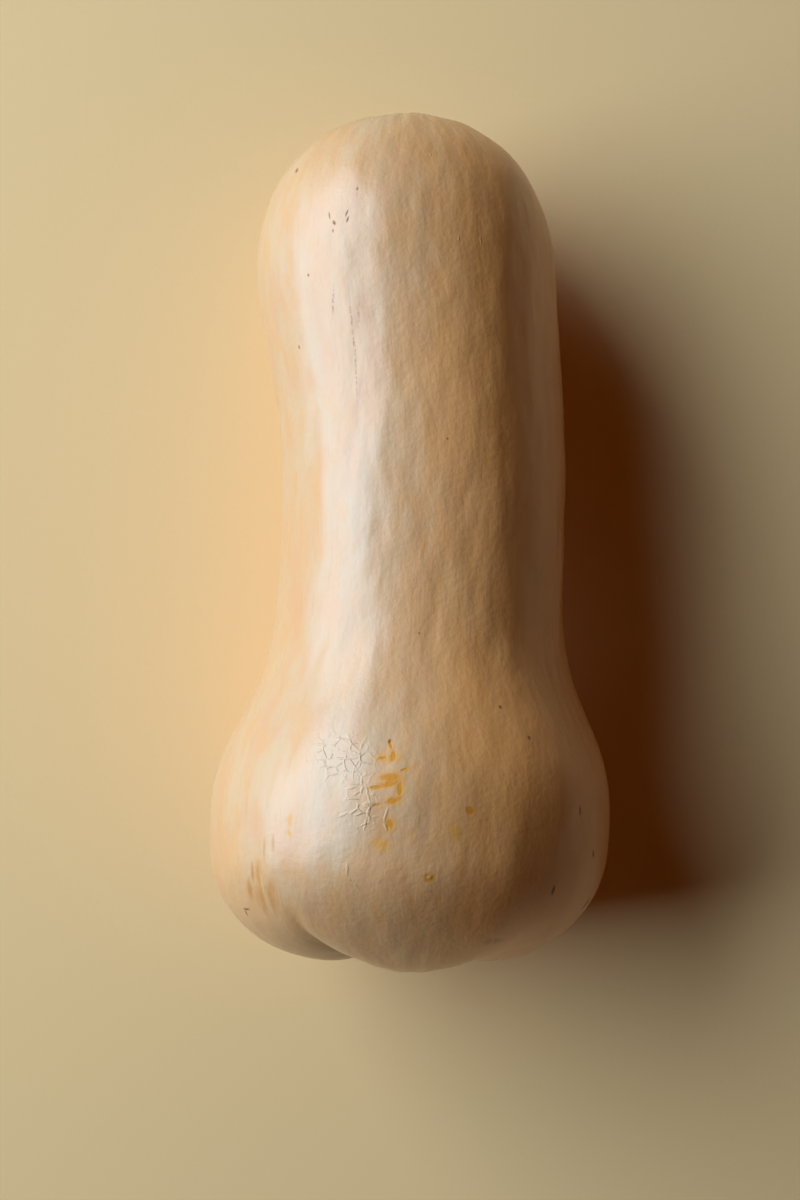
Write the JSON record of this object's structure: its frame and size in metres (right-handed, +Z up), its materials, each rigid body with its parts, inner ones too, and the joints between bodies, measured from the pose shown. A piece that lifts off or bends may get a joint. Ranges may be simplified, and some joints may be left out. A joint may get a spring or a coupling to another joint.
{
  "type": "butternut squash",
  "caption": "Whole butternut winter squash lying on its side: long neck, round bulb, lobed and cleft blossom end, stem scar with no stem, two small resting flats.",
  "frame": {"origin": "centre of the bounding box, at its bottom, on the surface the squash rests on", "axes": "+Y along the squash from the blossom end (bulb) to the stem end (neck), +Z up, +X to the right when looking along +Y"},
  "size_m": [0.1134, 0.246, 0.1123],
  "materials": {
    "squash_rind": "satin"
  },
  "bodies": {
    "root": {"squash": "squash_rind"}
  },
  "joints": []
}
